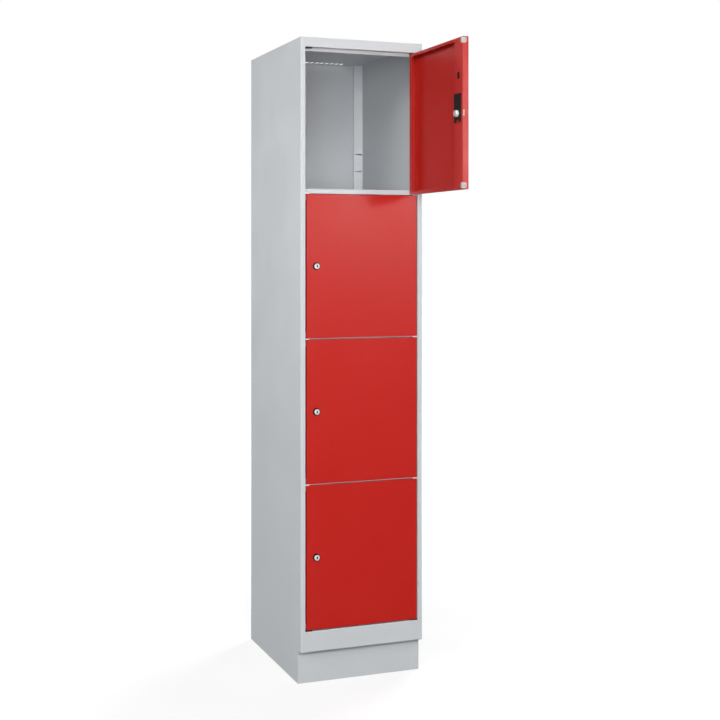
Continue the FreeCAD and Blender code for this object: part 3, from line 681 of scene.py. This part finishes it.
def placeWeldMarks():
    # the dished print of the electrode, in a column on each flange
    s = weldMarks
    low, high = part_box("side_panel_left")
    middle = (low.x + s["fromEdge"], high.y, s["lowest"])
    left = addDisc("weldMark", middle, s["radius"], s["height"], s["sides"])
    pickFaces(left, lambda centre, normal: normal.y > squareOn)
    bpy.ops.mesh.inset(thickness=s["rim"])
    bpy.ops.transform.translate(value=(0, -s["dish"], 0))
    bpy.ops.object.mode_set(mode="OBJECT")
    column = left.modifiers.new("column", "ARRAY")
    column.count = s["count"]
    column.use_relative_offset = False
    column.use_constant_offset = True
    column.constant_offset_displace = (0, 0, s["pitch"])
    applyModifiers(left)
    right = copyPiece(left, "weldMarksRight", Matrix.Scale(-1, 4, (1, 0, 0)))
    tidyNormals(right)
    marks = joinPieces([left, right], "rear_spot_welds")
    shadeSmooth(marks, s["smooth"])
    finishPiece(marks, "carcass", "carcass_grey")


placeWeldMarks()
print("weld marks placed")


# Stage, light and camera

stage = {
    "size": 60, "colour": screenColour(149, 149, 149), "rough": 0.8,
    "cloud": {"scale": 1.5, "detail": 3}, "tone": (0.985, 1.0),
    "glowReach": (0.6, 3.5), "glow": (0.72, 1.0),
}


def makeFloor():
    s = stage
    clearSelection()
    bpy.ops.mesh.primitive_plane_add(size=s["size"], location=(0, 0, 0))
    floor = takePiece("paleFloor")
    finish, tree, surface = newFinish("paleFloor", Roughness=s["rough"], Specular_IOR_Level=0.0)
    place = objectPlace(tree)
    level = spread(tree, noise(tree, place, **s["cloud"]), noiseBand, s["tone"])
    feed(tree, surface, "Base Color", shiftTone(tree, s["colour"], level))
    # brightened for the eye alone, the more the farther off, so that it runs into the backdrop
    reach = (addNode(tree, "VectorMath", {0: place}, operation="LENGTH"), "Value")
    glow = spread(tree, reach, s["glowReach"], s["glow"])
    seen = (addNode(tree, "LightPath", {}), "Is Camera Ray")
    feed(tree, surface, "Emission Strength", mathNode(tree, "MULTIPLY", glow, seen))
    surface.inputs["Emission Color"].default_value = white
    floor.data.materials.append(finish)
    floor.visible_glossy = False


sky = {"lit": 0.14, "seen": 1.0}


def makeSky():
    world = bpy.data.worlds.new("studioSky")
    bpy.context.scene.world = world
    world.use_nodes = True
    tree = world.node_tree
    back = tree.nodes["Background"]
    seen = (addNode(tree, "LightPath", {}), "Is Camera Ray")
    feed(tree, back, "Strength", spread(tree, seen, (0, 1), (sky["lit"], sky["seen"])))
    back.inputs["Color"].default_value = white


lights = {
    "nearKey": {"place": (-1.01, -3.0, 1.66), "size": (1.3, 1.3), "power": 42},
    "frontSoftbox": {"place": (-2.25, -10.59, 6.39), "size": (4, 4), "power": 264},
    "leftSoftbox": {"place": (-8.88, -5.4, 7.2), "size": (6, 4), "power": 516},
    "rearLeftSoftbox": {"place": (-8.45, 8.45, 1.8), "size": (4, 3), "power": 505},
    "broadFill": {"place": (-2.46, -4.26, 2.07), "size": (4.5, 4.5), "power": 14},
    "glossCard": {"place": (1.72, -4.08, 1.96), "size": (0.85, 0.42), "power": 26},
    "rearRightSoftbox": {"place": (3.0, 2.3, 3.9), "size": (2, 2), "power": 160},
}
lightAim = (0, 0, 1.2)


def makeLights():
    for name, s in lights.items():
        lamp = bpy.data.lights.new(name, "AREA")
        lamp.shape = "RECTANGLE"
        lamp.size, lamp.size_y = s["size"]
        lamp.energy = s["power"]
        holder = bpy.data.objects.new(name, lamp)
        bpy.context.scene.collection.objects.link(holder)
        holder.location = s["place"]
        aim = Vector(lightAim) - Vector(s["place"])
        holder.rotation_euler = aim.to_track_quat("-Z", "Y").to_euler()
        holder.visible_camera = False


view = {
    "place": (-1.4636, -3.8011, 1.3), "turn": -20.2, "frameSize": 720, "sensor": 36,
    "focalPixels": 1256.9, "axisPixel": (314.2, 253.2),
}


def makeCamera():
    s = view
    lens = bpy.data.cameras.new("photoView")
    lens.sensor_width = s["sensor"]
    lens.lens = s["focalPixels"] / s["frameSize"] * s["sensor"]
    half = s["frameSize"] / 2
    lens.shift_x = (half - s["axisPixel"][0]) / s["frameSize"]
    lens.shift_y = (s["axisPixel"][1] - half) / s["frameSize"]
    camera = bpy.data.objects.new("photoView", lens)
    bpy.context.scene.collection.objects.link(camera)
    camera.location = s["place"]
    camera.rotation_euler = (math.radians(90), 0, math.radians(s["turn"]))
    bpy.context.scene.camera = camera


makeFloor()
makeSky()
makeLights()
makeCamera()
bpy.context.scene.view_settings.view_transform = "Standard"
print("stage set")
